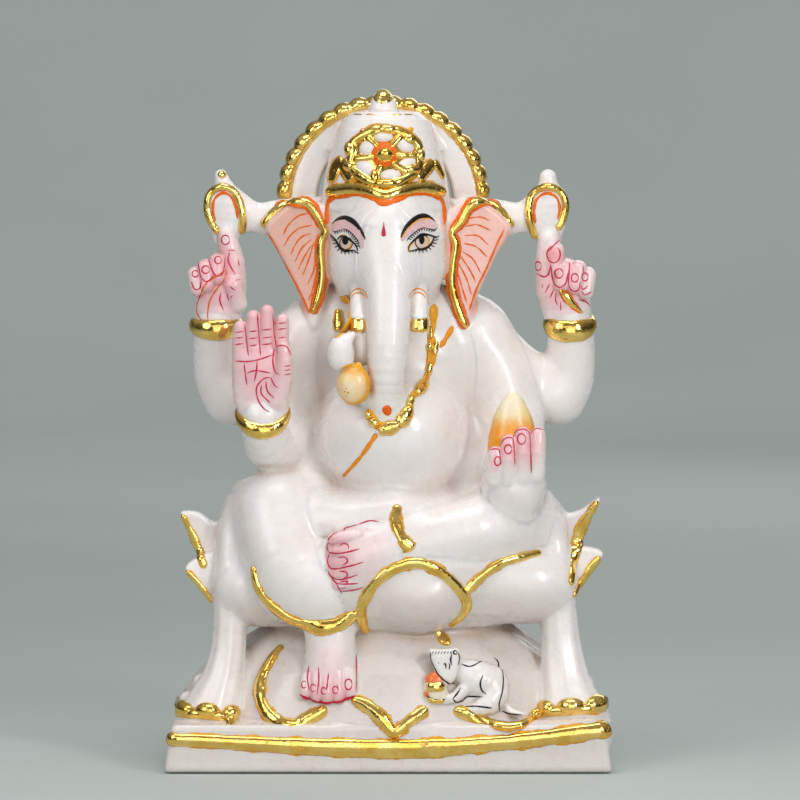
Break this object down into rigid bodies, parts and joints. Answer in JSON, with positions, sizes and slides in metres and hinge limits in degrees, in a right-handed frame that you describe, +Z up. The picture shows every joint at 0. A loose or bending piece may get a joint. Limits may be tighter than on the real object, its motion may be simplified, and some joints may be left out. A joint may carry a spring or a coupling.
{
  "type": "ganesha idol",
  "caption": "Seated four-armed elephant-headed figure on a lotus seat and plinth, carved marble with gilded relief trim.",
  "frame": {"origin": "centre of the plinth's underside", "axes": "+Z up, the figure faces -Y, +X is the figure's own left"},
  "size_m": [0.2011, 0.11, 0.305],
  "materials": {
    "marble": "polished white marble, slightly translucent, with warm hollows",
    "tinted_marble": "polished marble with a thin pink wash",
    "gold_leaf": "burnished gold leaf on carved relief",
    "sweet_paint": "marble under a yellow and orange wash",
    "orange_paint": "marble under opaque orange paint"
  },
  "bodies": {
    "root": {"plinth": "marble", "pedestal": "marble", "lotus_seat": "marble", "upper_petal_right": "marble", "lower_petal_right": "marble", "upper_petal_left": "marble", "lower_petal_left": "marble", "drape_right": "marble", "drape_left": "marble", "torso": "marble", "belly": "marble", "right_leg": "marble", "left_leg": "marble", "front_right_arm": "marble", "front_left_arm": "marble", "rear_right_arm": "marble", "rear_left_arm": "marble", "head": "marble", "trunk": "marble", "tusk_right": "marble", "tusk_left": "marble", "crown": "marble", "finial": "marble", "halo": "marble", "emblem_back_right": "marble", "emblem_back_left": "marble", "mouse": "marble", "front_right_hand": "tinted_marble", "front_left_hand": "tinted_marble", "rear_right_hand": "tinted_marble", "rear_left_hand": "tinted_marble", "right_foot": "tinted_marble", "left_foot": "tinted_marble", "ear_right": "tinted_marble", "ear_left": "tinted_marble", "plinth_band": "gold_leaf", "seat_rim": "gold_leaf", "pedestal_rim": "gold_leaf", "drape_trim_right": "gold_leaf", "drape_trim_left": "gold_leaf", "sash": "gold_leaf", "necklace": "gold_leaf", "bangle_front_right": "gold_leaf", "bangle_rear_right": "gold_leaf", "bangle_rear_left": "gold_leaf", "emblem_hoop_right": "gold_leaf", "emblem_hoop_left": "gold_leaf", "crown_rosette": "gold_leaf", "crown_band": "gold_leaf", "halo_beads": "gold_leaf", "tusk_cap_right": "gold_leaf", "tusk_cap_left": "gold_leaf", "ear_rim_right": "gold_leaf", "ear_rim_left": "gold_leaf", "mouse_sweet": "sweet_paint", "trunk_sweet": "sweet_paint", "hand_sweet": "sweet_paint", "crown_jewel": "orange_paint"}
  },
  "joints": []
}
